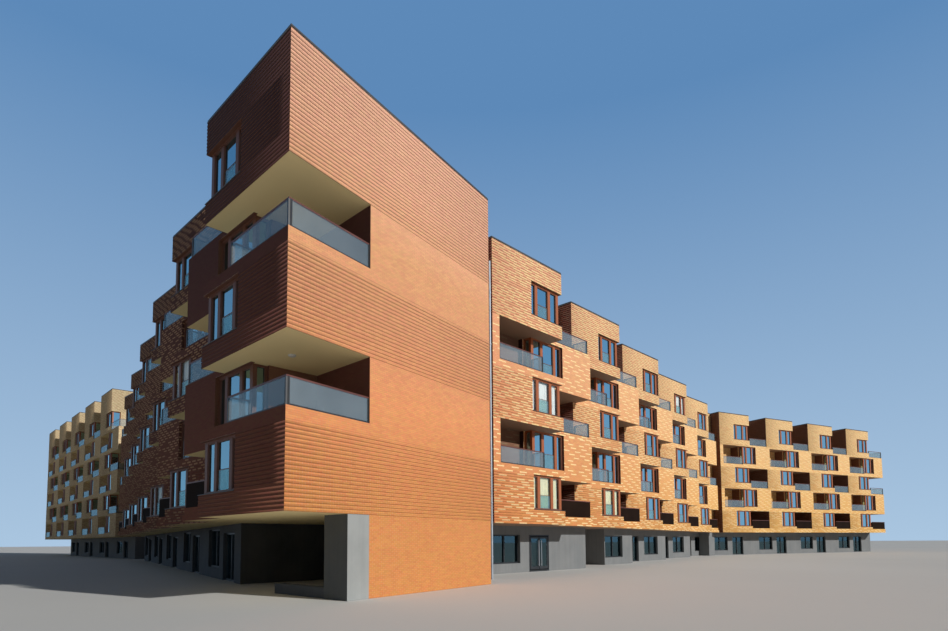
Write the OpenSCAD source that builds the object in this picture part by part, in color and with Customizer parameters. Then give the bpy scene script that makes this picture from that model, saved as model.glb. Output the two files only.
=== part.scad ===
// Stepped brick apartment block with four wings, as a 1:10 model.
// All sizes are millimetres of the model, so 100 is one metre of the building.
// Origin: foot of the grey pier under the gable. +X runs with the right wing's bays,
// +Y with the left wing's bays, +Z up from the pavement.

/* [Storeys] */
// Floor to floor height of the upper storeys
storey_h = 300; // [270:5:340]
// Underside of the lowest brick storey above the pavement
base_h = 310; // [260:5:380]
// Thickness of each floor plate
floor_t = 25; // [15:1:40]
// Height of the top brick boxes above the ceiling of the fifth storey
parapet_h = 118; // [60:2:180]
// Thickness of the outer walls
wall_t = 40; // [25:1:60]
// Thickness of the metal capping on the parapets
cap_t = 6; // [4:1:12]

/* [Bays] */
// Width of the wide column of a bay
wide_w = 677; // [600:1:760]
// Width of the narrow columns of the left wing
left_narrow_w = 326; // [280:1:380]
// Width of the narrow columns of the right wing
right_narrow_w = 338; // [280:1:380]
// Length by which the right wing's narrow columns reach past the next bay's start
right_narrow_over = 40; // [0:1:55]
// Setback of the left wing's narrow columns from its wide ones
left_narrow_set = 93; // [0:1:120]
// Setback of the right wing's narrow columns from its wide ones
right_narrow_set = 95; // [0:1:120]
// Spacing of the bays along the left wing
left_pitch = 1089; // [1060:1:1200]
// Spacing of the bays along the right wing
right_pitch = 1111; // [1060:1:1200]
// Setback of each bay from the one before it, right wing
right_step = 220; // [120:1:300]
// Setback of each bay from the one before it, left wing
left_step = 254; // [120:1:300]
// Depth of a wing from front to rear
wing_d = 1273; // [1240:1:1273]
// Depth of the open terraces
terrace_d = 490; // [420:5:600]
// Width of a loggia with its end pier
loggia_w = 447; // [380:1:500]
// Width of the right wing's loggias with that pier
right_loggia_w = 475; // [420:1:500]
// Depth of a loggia
loggia_d = 200; // [150:5:260]
// Width of the brick pier at the end of a loggia
pier_w = 60; // [45:1:100]
// Height of the brick upstand under a loggia rail
upstand_h = 20; // [10:1:40]

/* [Corner block] */
// Setback of the gable's far end, which makes the street corner sharp
gable_skew = 228; // [120:1:300]
// Depth of the corner block, front to rear
corner_d = 1233; // [1150:1:1262]
// Length of the corner loggias along the left front
corner_loggia_w = 440; // [380:1:500]
// Depth of the corner loggias along the gable
corner_loggia_d = 385; // [300:1:500]

/* [Right and far wings] */
// Plan position of the right wing's first bay, X
right_x = 1527; // [1527:1:1560]
// Plan position of the right wing's first bay, Y
right_y = 466; // [440:1:500]
// Width of the wide column in the far wing
far_wide_w = 600; // [540:1:640]
// Spacing of the bays in the far wing
far_pitch = 958; // [944:1:1000]
// Width of the narrow column in the far wing
far_narrow_w = 240; // [200:1:280]
// Width of the narrow column in the rear wing
rear_narrow_w = 335; // [280:1:380]
// Turn of the far wing towards the street, in degrees
far_turn = 18.7; // [14:0.1:22]
// Plan position of the far wing's first bay, X
far_x = 7224; // [7200:1:7260]
// Plan position of the far wing's first bay, Y
far_y = 1428; // [1400:1:1460]
// Length of the part that joins the right wing to the far wing
link_w = 700; // [650:5:720]
// Setback of the wall between the gable and the right wing
link_set = 40; // [30:1:80]

/* [Rear wing] */
// Width of the wide column in the rear wing
rear_wide_w = 631; // [600:1:680]
// Spacing of the bays in the rear wing
rear_pitch = 1058; // [1040:1:1100]
// Turn of the rear wing away from the left wing's line, in degrees
rear_turn = 2.4; // [0:0.1:5]
// Plan position of the rear wing's near corner, X
rear_x = 1579; // [1540:1:1620]
// Plan position of the rear wing's near corner, Y
rear_y = 7424; // [7380:1:7500]
// Height of the rear wing's top boxes above their ceiling
rear_parapet_h = 300; // [200:5:350]
// Setback of the part that joins the left wing to the rear wing
rear_link_set = 1950; // [1900:5:2000]

/* [Ground floor] */
// Setback of the ground floor under the right wing
right_set = 354; // [250:1:420]
// Setback of the ground floor under the left wing
left_set = 180; // [120:1:300]
// Setback of the ground floor under the far wing
far_set = 250; // [150:1:400]
// Length by which the right wing's ground floor steps later than its bays
ground_shift = 330; // [200:1:400]
// Clear height of shop windows and doors
shop_head = 252; // [220:1:270]
// Height of the shop window sills
shop_sill = 62; // [20:1:90]
// Thickness of the ground floor plate
ground_t = 10; // [6:1:20]
// Length by which the left wing's ground floor starts later than its bays
left_shift = 133; // [60:1:300]
// Distance from a ground floor bay's start to its shop window
shop_start = 360; // [80:5:420]
// Width of a shop window
shop_w = 295; // [200:5:320]
// Width of the wall between a shop window and a shop door
shop_pier = 95; // [40:1:120]
// Width of a double door's opening
door_w = 225; // [200:1:240]
// Start of the grey pier under the gable, from the street corner
pier_start = 276; // [200:1:340]
// Depth of the grey pier
pier_deep = 150; // [80:1:200]
// Distance along the left wing's slanted ground floor wall from a bay's start to its door
left_door_near = 155; // [100:5:180]
// Width of a door in the left wing's ground floor
left_door_w = 295; // [220:5:310]
// Width of the wall between a door and a shop window in the left wing
left_pier = 110; // [60:5:120]
// Width of a shop window in the left wing
left_shop_w = 355; // [280:5:370]
// Clear height of the left wing's doors
left_door_head = 266; // [230:2:280]
// Clear height of the left wing's shop windows
left_shop_head = 294; // [250:2:300]
// Distance from a later right wing ground floor bay's start to its shop window
shop_late = 640; // [600:5:700]
// Distance from a later right wing ground floor bay's start to its door
door_near = 350; // [300:5:400]
// Width of a door in the later ground floor bays of the right wing
late_door_w = 175; // [140:5:200]
// Width of the deep recess in the right wing's ground floor
recess_w = 630; // [500:5:640]
// Depth of that recess
recess_d = 420; // [200:10:600]
// Height of the low ledge under the corner
ledge_h = 40; // [20:1:60]
// Width of the low ledge
ledge_w = 45; // [20:1:60]
// Length of the low ledge
ledge_l = 370; // [200:5:450]
// Distance from an outlying wing's bay's start to its shop window
shop_near = 90; // [50:5:120]
// Diameter of the rainwater pipe
pipe_d = 14; // [8:1:14]

/* [Windows and rails] */
// Height of a box window's sill above its floor
box_sill = 62; // [30:1:100]
// Height of a loggia window's sill above its floor
loggia_sill = 32; // [10:1:80]
// Width of a box window
box_window_w = 318; // [240:1:380]
// Length of a box window's return around the corner
return_w = 120; // [80:1:200]
// Width of a frame member
frame_w = 9; // [6:1:14]
// Width of the posts between the lights of a window and at its corner
post_w = 24; // [12:1:28]
// Share of a window's front that its end light takes
end_share = 0.155; // [0.12:0.005:0.2]
// Share of a window's front that its middle light takes
mid_share = 0.34; // [0.3:0.005:0.4]
// Depth of a frame
frame_d = 8; // [5:1:12]
// Thickness of the panes and glass rails
glass_t = 4; // [3:1:6]
// Setback of the panes from the wall's face
reveal = 24; // [14:1:30]
// Gap between butted frames, panes and rails
butt_gap = 0.3; // [0.2:0.1:1]
// Length of a corner window's return in a loggia
loggia_return_w = 75; // [60:5:85]
// Distance from a bay's start to its first courtyard window
yard_first = 150; // [100:5:200]
// Distance from a bay's start to its second courtyard window
yard_second = 620; // [560:5:700]
// Width of a courtyard window
yard_w = 180; // [120:5:240]
// Height of a courtyard window
yard_h = 150; // [100:5:170]
// Height of a courtyard window's sill above its floor
yard_sill = 90; // [60:5:100]
// Height of the glass rails
rail_h = 95; // [80:1:120]
// Height of the brick upstand under the solid panels of the lowest terraces
panel_foot = 33; // [10:1:50]
// Thickness of that upstand
panel_foot_w = 8; // [6:1:12]
// Height of the solid panels on the lowest terraces
panel_h = 109; // [80:1:120]
// Thickness of a rail's bars
bar_t = 6; // [5:1:10]
// Distance of the rails from the wall's face
rail_inset = 6; // [4:1:12]
// Distance of a terrace rail's far end from the next bay
rail_side = 25; // [10:1:40]
// Width of the brick upstand under a loggia rail
curb_w = 25; // [18:1:40]

/* [Entrance] */
// Thickness of a door leaf
leaf_t = 7; // [5:1:10]
// Running gap around a door leaf
leaf_gap = 5; // [5:1:8]
// Diameter of a pivot pin
pin_d = 6; // [4:0.5:8]
// Running gap at a pivot pin
pin_gap = 0.3; // [0.2:0.1:0.6]
// Diameter of a door pull
pull_d = 4; // [3:0.5:6]
// Distance of a door pull from its leaf
pull_out = 10; // [6:1:14]

/* [Hidden] */
LEFT = 0;
RIGHT = 1;
FAR = 2;
REAR = 3;
WINGS = [LEFT, RIGHT, FAR, REAR];
eps = 1;
far = 4000;
left_bays = 6;
right_bays = 5;
far_bays = 4;
rear_bays = 5;
main_levels = 5;
rear_levels = 6;
wall_h = storey_h - floor_t;
gable_angle = atan2(gable_skew, corner_d);
pier_foot = pier_start * tan(gable_angle);
door_s = shop_start + shop_w + shop_pier;
slant = atan2(left_step, left_pitch);
slant_pitch = left_pitch / cos(slant);

// Rules of one wing
function bays(w) = [left_bays, right_bays, far_bays, rear_bays][w];
function pitch(w) = [left_pitch, right_pitch, far_pitch, rear_pitch][w];
function levels(w) = w == REAR ? rear_levels : main_levels;
function step(w) = w == LEFT ? left_step : w == RIGHT ? right_step : 0;
function wide(w) = w == FAR ? far_wide_w : w == REAR ? rear_wide_w : wide_w;
function setback(w) = w == LEFT ? left_set : w == RIGHT ? right_set : far_set;
function start(w, i) = pitch(w) * i;
function front(w, i) = step(w) * i;
function is_corner(w, i) = w == LEFT && i == 0;
function rear(w, i) = front(w, i) + (is_corner(w, i) ? corner_d : wing_d);
function narrow(w) = [left_narrow_w, right_narrow_w, far_narrow_w, rear_narrow_w][w];
function over(w) = w == RIGHT ? right_narrow_over : 0;
function narrow_end(w, i) = start(w, i + 1) + over(w);
function narrow_start(w, i) = narrow_end(w, i) - narrow(w);
function narrow_set(w) = w == LEFT ? left_narrow_set : w == RIGHT ? right_narrow_set : 0;
function narrow_front(w, i) = front(w, i) + narrow_set(w);
function wide_end(w, i) = start(w, i) + wide(w);
function loggia_start(w, i) = start(w, i) + (is_corner(w, i) ? 0 : pier_w);
function loggia_end(w, i) = start(w, i)
    + (is_corner(w, i) ? corner_loggia_w : w == RIGHT ? right_loggia_w : loggia_w);
function loggia_deep(w, i) = is_corner(w, i) ? corner_loggia_d : loggia_d;
function late(w) = w == RIGHT ? ground_shift : w == LEFT ? left_shift : 0;
function first_shop_bay(w) = w == LEFT || w == REAR ? 1 : 0;
function shop_bay_start(w, i) = start(w, i) + (i == 0 ? 0 : late(w));

// Heights
function floor_z(level) = base_h + floor_t + storey_h * (level - 1);
function is_box_level(w, level) = (level + levels(w)) % 2 == 0;
function wall_height(w, level) = level < levels(w) ? wall_h
    : wall_h + floor_t + (w == REAR ? rear_parapet_h : parapet_h);
function top_z(w) = floor_z(levels(w)) + wall_height(w, levels(w));

// Floor plan of a wing as strips along it, each with its start, end, front and rear
function link_strip(w) =
    w == RIGHT ? [[start(w, bays(w)), start(w, bays(w)) + link_w,
        front(w, bays(w)), rear(w, bays(w) - 1)]]
    : w == LEFT ? [[start(w, bays(w)), rear_y, rear_link_set, rear(w, bays(w) - 1)]]
    : [];
function corner_strip(w) = w != RIGHT ? [] :
    [[corner_d - right_x, 0, link_set, left_pitch - right_y]];
function box_strips(w) = [
    for (s = corner_strip(w)) s,
    for (i = [0:bays(w) - 1])
        for (s = [
            [start(w, i), wide_end(w, i), front(w, i), rear(w, i)],
            [wide_end(w, i), start(w, i + 1), front(w, i) + terrace_d, rear(w, i)]
        ]) s,
    for (s = link_strip(w)) s
];
function loggia_strips(w) = [
    for (s = corner_strip(w)) s,
    for (i = [0:bays(w) - 1])
        for (s = [
            [start(w, i), loggia_end(w, i), front(w, i) + loggia_deep(w, i), rear(w, i)],
            [loggia_end(w, i), narrow_end(w, i), narrow_front(w, i), rear(w, i)]
        ]) s,
    for (s = link_strip(w)) s
];
function plate_strips(w) = [
    for (s = corner_strip(w)) s,
    for (i = [0:bays(w) - 1])
        for (s = [
            [start(w, i), wide_end(w, i), front(w, i), rear(w, i)],
            [wide_end(w, i), narrow_end(w, i), narrow_front(w, i), rear(w, i)]
        ]) s,
    for (s = link_strip(w)) s
];
function recess(w, i) = w == RIGHT && i == 1 ? recess_w : 0;
function ground_strips(w) = [
    for (s = corner_strip(w)) s,
    for (i = [first_shop_bay(w):bays(w) - 1])
        for (s = [
            [shop_bay_start(w, i), shop_bay_start(w, i) + recess(w, i),
                front(w, i) + setback(w) + recess_d, rear(w, i)],
            [shop_bay_start(w, i) + recess(w, i),
                start(w, i + 1) + (i == bays(w) - 1 ? 0 : late(w)),
                front(w, i) + (w == LEFT ? 0 : setback(w)), rear(w, i)]
        ]) if (s[1] > s[0]) s,
    for (s = link_strip(w)) s
];
function strips(w, level) = is_box_level(w, level) ? box_strips(w) : loggia_strips(w);

// Moves what is placed from the street corner to the origin, in the pier's foot
module site() {
    translate([-(pier_start + corner_loggia_d) / 2, -pier_foot - pier_deep / 2, 0]) children();
}

// Places a wing drawn with its length along +X and its depth along +Y
module wing_place(w) {
    site() {
        if (w == LEFT) mirror([1, -1, 0]) children();
        if (w == RIGHT) translate([right_x, right_y, 0]) children();
        if (w == FAR) translate([far_x, far_y, 0]) rotate(-far_turn) children();
        if (w == REAR)
            translate([rear_x, rear_y, 0]) rotate(-90 - rear_turn)
                translate([-start(w, bays(w)), 0, 0]) children();
    }
}

module block(s, z0, h) {
    translate([s[0], s[2], z0]) cube([s[1] - s[0], s[3] - s[2], h]);
}

// Solid plan of a wing
module mass(list, z0, h) {
    for (s = list) block(s, z0, h);
}

// Rooms of a wing: each strip less its walls, joined to the next strip
module rooms(list, z0, h) {
    for (s = list) block([s[0] + wall_t, s[1] - wall_t, s[2] + wall_t, s[3] - wall_t], z0, h);
    for (k = [0:len(list) - 2])
        block([list[k][1] - wall_t - eps, list[k][1] + wall_t + eps,
            max(list[k][2], list[k + 1][2]) + wall_t,
            min(list[k][3], list[k + 1][3]) - wall_t], z0, h);
}

// Cuts a wing off at the slanted gable and at the wing it leads to, moved in by inset
module wing_clip(w, inset, z0, h) {
    difference() {
        children();
        if (w == LEFT)
            rotate(90 - gable_angle)
                translate([-far, -inset, z0 - eps]) cube([2 * far, far, h + 2 * eps]);
        if (w == LEFT)
            translate([rear_y, rear_x, 0]) rotate(rear_turn)
                translate([-inset, -far, z0 - eps]) cube([far, 2 * far, h + 2 * eps]);
        if (w == RIGHT)
            translate([far_x - right_x, far_y - right_y, 0]) rotate(-far_turn)
                translate([-inset, -far, z0 - eps]) cube([far, 2 * far, h + 2 * eps]);
    }
}

module wing_mass(w, list, z0, h) {
    wing_clip(w, 0, z0, h) mass(list, z0, h);
}

module wing_rooms(w, list, z0, h) {
    wing_clip(w, wall_t, z0, h) rooms(list, z0, h);
}

module shell(w, list, z0, h) {
    difference() {
        wing_mass(w, list, z0, h);
        wing_rooms(w, list, z0 - eps, h + 2 * eps);
    }
}

// Two butted strips around a corner window, between two insets from its outer faces;
// side is +1 where the window ends at its bay's far side, -1 at its near side
module corner_ell(s, f, len, deep, side, inset, t, z0, h) {
    translate([s, f, 0]) scale_side(side) {
        translate([-len, inset, z0]) cube([len - inset, t, h]);
        translate([-inset - t, inset + t + butt_gap, z0])
            cube([t, deep - inset - t - butt_gap, h]);
    }
}

module scale_side(side) {
    if (side > 0) children();
    else mirror([1, 0, 0]) children();
}

// Frame around a corner window: an end light, a middle light and a light at the corner post
module corner_frame(s, f, len, deep, side, z0, h) {
    inset = reveal - frame_d;
    first = [-len + frame_w, -len + frame_w + len * end_share];
    middle = [first[1] + post_w, first[1] + post_w + len * mid_share];
    last = [middle[1] + post_w, -inset - post_w];
    difference() {
        corner_ell(s, f, len, deep, side, inset, frame_d, z0, h);
        translate([s, f, 0]) scale_side(side) {
            for (light = [first, middle, last])
                translate([light[0], inset - eps, z0 + frame_w])
                    cube([light[1] - light[0], frame_d + 2 * eps, h - 2 * frame_w]);
            translate([-reveal - eps, reveal + butt_gap + frame_w, z0 + frame_w])
                cube([frame_d + 2 * eps, deep - reveal - butt_gap - 2 * frame_w,
                    h - 2 * frame_w]);
        }
    }
}

module corner_glass(s, f, len, deep, side, z0, h) {
    corner_ell(s, f, len, deep, side, reveal, glass_t, z0, h);
}

module corner_cut(s, f, len, deep, side, z0, h) {
    translate([s, f, 0]) scale_side(side) {
        translate([-len, -eps, z0]) cube([len + eps, wall_t + 2 * eps, h]);
        translate([-wall_t - eps, -eps, z0]) cube([wall_t + 2 * eps, deep + eps, h]);
    }
}

// One call per window of a storey, as cut, frame or glass
module windows(w, level, kind) {
    z = floor_z(level);
    for (i = [0:bays(w) - 1]) {
        if (is_box_level(w, level))
            corner_window(wide_end(w, i), front(w, i), box_window_w, return_w, 1,
                z + box_sill, wall_h - box_sill, kind);
        else
            corner_window(loggia_end(w, i), narrow_front(w, i),
                narrow_start(w, i) - loggia_end(w, i), loggia_return_w, -1,
                z + loggia_sill, wall_h - loggia_sill, kind);
    }
}

module corner_window(s, f, len, deep, side, z0, h, kind) {
    if (kind == "cut") corner_cut(s, f, len, deep, side, z0, h);
    if (kind == "frame") corner_frame(s, f, len, deep, side, z0, h);
    if (kind == "glass") corner_glass(s, f, len, deep, side, z0, h);
}

// Windows of the courtyard side, two in each bay; the left wing's start past the right wing
function yard_start(w) = w == LEFT ? right_y + wing_d : 0;
module yard_windows(w, level, t, inset) {
    for (i = [0:bays(w) - 1])
        for (s = [start(w, i) + yard_first, start(w, i) + yard_second])
            if (s > yard_start(w))
                translate([s, rear(w, i) - wall_t + inset, floor_z(level) + yard_sill])
                    cube([yard_w, t, yard_h]);
}

module storey(w, level) {
    z = floor_z(level);
    wing_place(w) {
        difference() {
            shell(w, strips(w, level), z, wall_height(w, level));
            windows(w, level, "cut");
            yard_windows(w, level, wall_t + 2 * eps, -eps);
        }
        if (!is_box_level(w, level))
            for (i = [0:bays(w) - 1]) {
                if (!is_corner(w, i))
                    block([start(w, i), loggia_start(w, i), front(w, i),
                        front(w, i) + loggia_deep(w, i) + eps], z, wall_h);
                curb(w, i, z);
            }
        if (has_panel(w, level))
            for (i = [0:bays(w) - 1])
                terrace_path(w, i, 0, panel_foot_w, z, panel_foot, -eps, eps);
    }
}

// Brick upstand along a loggia and the ledge beside it
module curb(w, i, z0) {
    f = front(w, i);
    if (is_corner(w, i)) corner_ring(w, wide_end(w, i), 0, curb_w, z0, upstand_h);
    else block([loggia_start(w, i), wide_end(w, i), f, f + curb_w], z0, upstand_h);
    if (narrow_set(w) > curb_w)
        block([wide_end(w, i) - curb_w, wide_end(w, i), f + curb_w - eps, narrow_front(w, i) + eps],
            z0, upstand_h);
}

// Part of the corner block's outline along the gable and the left front
module corner_ring(w, s1, inset, t, z0, h) {
    difference() {
        wing_clip(w, inset, z0, h)
            block([0, s1, inset, corner_loggia_d + (inset == 0 ? eps : 0)], z0, h);
        wing_clip(w, inset + t, z0 - eps, h + 2 * eps)
            block([0, s1 + eps, inset + t, corner_loggia_d + 2 * eps], z0 - eps, h + 2 * eps);
        if (inset > 0)
            block([0, s1 + eps, inset + t, inset + t + butt_gap], z0 - eps, h + 2 * eps);
    }
}

// Plan of the rail in front of a loggia or around a terrace, in butted lengths
module rail_path(w, i, level, inset, t, z0, h) {
    f = front(w, i) + inset;
    s1 = loggia_end(w, i);
    if (is_box_level(w, level)) terrace_path(w, i, inset, t, z0, h);
    else {
        if (is_corner(w, i)) corner_ring(w, s1, inset, t, z0, h);
        else block([loggia_start(w, i), s1, f, f + t], z0, h);
        if (narrow_set(w) > 0) block([s1 - t, s1, f + t + butt_gap, narrow_front(w, i)], z0, h);
    }
}

module terrace_path(w, i, inset, t, z0, h, gap = butt_gap, into = 0) {
    s0 = wide_end(w, i) - into;
    f = narrow_front(w, i) + inset;
    last = i == bays(w) - 1 && w != RIGHT;
    s1 = narrow_end(w, i) - (last ? inset : rail_side);
    beside = s1 > start(w, i + 1);
    f1 = last ? front(w, i) + terrace_d : front(w, i + 1) + (beside ? 0 : inset + t);
    if (step(w) == 0 && !last) block([s0, start(w, i + 1) + into, f, f + t], z0, h);
    else {
        block([s0, s1, f, f + t], z0, h);
        block([s1 - t, s1, f + t + gap, f1 + (last || beside ? into : 0)], z0, h);
        if (!last && !beside) block([s1 + gap, start(w, i + 1) + into, f1 - t, f1], z0, h);
    }
}

// Shop windows and doors of the ground floor, as cut, frame or glass
module shop_unit(s0, s1, f, z0, head, kind) {
    h = head - z0;
    lights = 2;
    pane = (s1 - s0 - frame_w) / lights;
    if (kind == "cut")
        block([s0, s1, f - eps, f + wall_t + eps], z0 == 0 ? -eps : z0, z0 == 0 ? h + eps : h);
    if (kind == "frame")
        difference() {
            block([s0, s1, f + reveal - frame_d, f + reveal], z0, h);
            for (k = [0:lights - 1])
                block([s0 + frame_w + k * pane, s0 + (k + 1) * pane, f, f + wall_t],
                    z0 + frame_w, h - 2 * frame_w);
        }
    if (kind == "glass")
        block([s0, s1, f + reveal, f + reveal + glass_t], z0, h);
}

module shops(w, kind) {
    for (i = [first_shop_bay(w):bays(w) - 1]) {
        s = shop_bay_start(w, i);
        f = front(w, i) + setback(w);
        if (w == LEFT) {
            door = (i - 1) * slant_pitch + left_door_near;
            window = door + left_door_w + left_pier;
            slanted() {
                shop_unit(door, door + left_door_w, 0, 0, left_door_head, kind);
                shop_unit(window, window + left_shop_w, 0, shop_sill, left_shop_head, kind);
            }
        }
        if (w == RIGHT && i == 0) {
            shop_unit(s + shop_start, s + shop_start + shop_w, f, shop_sill, shop_head, kind);
            if (kind == "cut")
                shop_unit(s + door_s, s + door_s + door_w, f, 0, shop_head, kind);
        }
        if (w == RIGHT && i > 0) {
            window_end = min(s + shop_late + shop_w, start(w, i + 1) + late(w) - wall_t);
            shop_unit(s + shop_late, window_end, f, shop_sill, shop_head, kind);
            if (i > 1) shop_unit(s + door_near, s + door_near + late_door_w, f, 0, shop_head, kind);
        }
        if (w == FAR || w == REAR) {
            door = s + shop_near + shop_w + shop_pier;
            shop_unit(s + shop_near, s + shop_near + shop_w, f, shop_sill, shop_head, kind);
            shop_unit(door, door + door_w, f, 0, shop_head, kind);
        }
    }
}

// Frame of the left wing's ground floor wall, which runs straight past the stepped bays above
module slanted() {
    translate([shop_bay_start(LEFT, 1), front(LEFT, 1) + left_set, 0]) rotate(slant) children();
}

module slant_clip(w, inset, z0, h) {
    difference() {
        children();
        if (w == LEFT)
            slanted() translate([-far, inset - far, z0 - eps]) cube([3 * far, far, h + 2 * eps]);
    }
}

module ground_walls(w) {
    wing_place(w) {
        difference() {
            slant_clip(w, 0, 0, base_h) wing_mass(w, ground_strips(w), 0, base_h);
            slant_clip(w, wall_t, -eps, base_h + 2 * eps)
                wing_rooms(w, ground_strips(w), -eps, base_h + 2 * eps);
            shops(w, "cut");
        }
        if (w == LEFT)
            wing_clip(w, wall_t, 0, base_h)
                block([0, shop_bay_start(w, 1) + eps, corner_d - wall_t, corner_d], 0, base_h);
    }
}

module ground_floor() {
    color("darkgray")
        for (w = WINGS) wing_place(w)
            slant_clip(w, wall_t, 0, ground_t) wing_rooms(w, ground_strips(w), 0, ground_t);
}

module left_ground_walls() { color("slategray") ground_walls(LEFT); }
module right_ground_walls() { color("slategray") ground_walls(RIGHT); }
module far_ground_walls() { color("slategray") { ground_walls(FAR); ground_walls(REAR); } }

// Brick foot of the gable wall, which runs down to the pavement
module gable_base_wall() {
    color("chocolate") wing_place(LEFT)
        difference() {
            wing_clip(LEFT, 0, 0, base_h)
                block([0, gable_skew + wall_t, corner_loggia_d, corner_d], 0, base_h);
            wing_clip(LEFT, wall_t, -eps, base_h + 2 * eps)
                block([0, gable_skew + 2 * wall_t, corner_loggia_d - eps, corner_d + eps],
                    -eps, base_h + 2 * eps);
        }
}

module grey_corner_pier() {
    color("gray") wing_place(LEFT)
        wing_clip(LEFT, 0, 0, base_h)
            block([0, pier_foot + pier_deep, pier_start, corner_loggia_d],
                0, base_h);
}

module plinth_ledge() {
    s0 = pier_foot + pier_deep;
    color("gray") wing_place(LEFT)
        block([s0, s0 + ledge_l, pier_start, pier_start + ledge_w], 0, ledge_h);
}

module floor_plate(level) {
    color("tan")
        for (w = WINGS)
            wing_place(w) wing_mass(w, plate_strips(w), floor_z(level) - floor_t, floor_t);
}

module floor_1() { floor_plate(1); }
module floor_2() { floor_plate(2); }
module floor_3() { floor_plate(3); }
module floor_4() { floor_plate(4); }
module floor_5() { floor_plate(5); }

module floor_6() {
    color("tan")
        wing_place(REAR) wing_mass(REAR, plate_strips(REAR), floor_z(6) - floor_t, floor_t);
}

module roof() {
    color("dimgray")
        for (w = WINGS)
            wing_place(w) wing_rooms(w, box_strips(w), floor_z(levels(w)) + wall_h, floor_t);
}

module left_walls_1() { color("brown") storey(LEFT, 1); }
module left_walls_2() { color("brown") storey(LEFT, 2); }
module left_walls_3() { color("brown") storey(LEFT, 3); }
module left_walls_4() { color("brown") storey(LEFT, 4); }
module left_walls_5() { color("brown") storey(LEFT, 5); }
module right_walls_1() { color("peru") storey(RIGHT, 1); }
module right_walls_2() { color("peru") storey(RIGHT, 2); }
module right_walls_3() { color("peru") storey(RIGHT, 3); }
module right_walls_4() { color("peru") storey(RIGHT, 4); }
module right_walls_5() { color("peru") storey(RIGHT, 5); }
module far_walls_1() { color("goldenrod") { storey(FAR, 1); storey(REAR, 1); } }
module far_walls_2() { color("goldenrod") { storey(FAR, 2); storey(REAR, 2); } }
module far_walls_3() { color("goldenrod") { storey(FAR, 3); storey(REAR, 3); } }
module far_walls_4() { color("goldenrod") { storey(FAR, 4); storey(REAR, 4); } }
module far_walls_5() { color("goldenrod") { storey(FAR, 5); storey(REAR, 5); } }
module far_walls_6() { color("goldenrod") storey(REAR, 6); }

module parapet_caps() {
    color("black")
        for (w = WINGS)
            wing_place(w) shell(w, box_strips(w), top_z(w), cap_t);
}

module window_frames(w) {
    color("sienna") wing_place(w) for (level = [1:levels(w)]) windows(w, level, "frame");
}

module window_frames_left() { window_frames(LEFT); }
module window_frames_right() { window_frames(RIGHT); }
module window_frames_far() {
    window_frames(FAR);
    window_frames(REAR);
}

module window_glass() {
    color("lightblue")
        for (w = WINGS)
            wing_place(w)
                for (level = [1:levels(w)]) {
                    windows(w, level, "glass");
                    yard_windows(w, level, glass_t, reveal);
                }
}

// The lowest terraces of the main wings have solid panels in place of glass
function has_panel(w, level) = level == 1 && w != REAR;
function rail_foot(w, level) = floor_z(level) + (is_box_level(w, level) ? 0 : upstand_h);

module rail_glass() {
    color("lightblue")
        for (w = WINGS)
            wing_place(w)
                for (level = [1:levels(w)], i = [0:bays(w) - 1])
                    if (!has_panel(w, level))
                        rail_path(w, i, level, rail_inset, glass_t, rail_foot(w, level), rail_h);
}

module rail_bars() {
    color("darkred")
        for (w = WINGS)
            wing_place(w)
                for (level = [1:levels(w)], i = [0:bays(w) - 1])
                    rail_path(w, i, level, rail_inset - (bar_t - glass_t) / 2, bar_t,
                        rail_foot(w, level) + (has_panel(w, level) ? panel_foot + panel_h : rail_h), bar_t);
}

module terrace_panels() {
    color("saddlebrown")
        for (w = WINGS)
            wing_place(w)
                for (i = [0:bays(w) - 1])
                    if (has_panel(w, 1))
                        rail_path(w, i, 1, rail_inset, glass_t, floor_z(1) + panel_foot, panel_h);
}

module shop_frames() {
    color("dimgray") for (w = WINGS) wing_place(w) shops(w, "frame");
}

module shop_glass() {
    color("lightblue") for (w = WINGS) wing_place(w) shops(w, "glass");
}

// Entrance in the right wing's first bay
leaf_w = (door_w - 2 * frame_w - 3 * leaf_gap) / 2;
leaf_z = ground_t + leaf_gap;
leaf_h = shop_head - frame_w - leaf_z - leaf_gap;

module entrance_place() {
    wing_place(RIGHT) translate([door_s, setback(RIGHT), 0]) children();
}

module entrance_frame() {
    color("dimgray") entrance_place()
        difference() {
            union() {
                cube([door_w, frame_d, shop_head]);
                cube([door_w, wall_t, ground_t]);
            }
            translate([frame_w, -eps, ground_t])
                cube([door_w - 2 * frame_w, frame_d + 2 * eps, leaf_h + 2 * leaf_gap]);
        }
}

// Leaf drawn from its pivot, at [0, 0], towards +X
module leaf() {
    translate([-pin_d / 2, -leaf_t / 2, leaf_z]) cube([leaf_w, leaf_t, leaf_h]);
    translate([0, 0, leaf_z - leaf_gap + pin_gap])
        cylinder(h = leaf_h + 2 * leaf_gap - 2 * pin_gap, d = pin_d, $fn = 32);
}

module pull() {
    pull_x = leaf_w - pin_d / 2 - 3 * pull_d;
    for (z = [leaf_z + leaf_h * 0.15, leaf_z + leaf_h * 0.85])
        translate([pull_x, -leaf_t / 2, z])
            rotate([90, 0, 0]) cylinder(h = pull_out, d = pull_d * 0.8, $fn = 24);
    translate([pull_x, -leaf_t / 2 - pull_out, leaf_z + leaf_h * 0.1])
        cylinder(h = leaf_h * 0.8, d = pull_d, $fn = 24);
}

module left_pivot() {
    entrance_place()
        translate([frame_w + leaf_gap + pin_d / 2, leaf_t / 2, 0]) children();
}

module right_pivot() {
    entrance_place()
        translate([door_w - frame_w - leaf_gap - pin_d / 2, leaf_t / 2, 0])
            mirror([1, 0, 0]) children();
}

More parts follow.
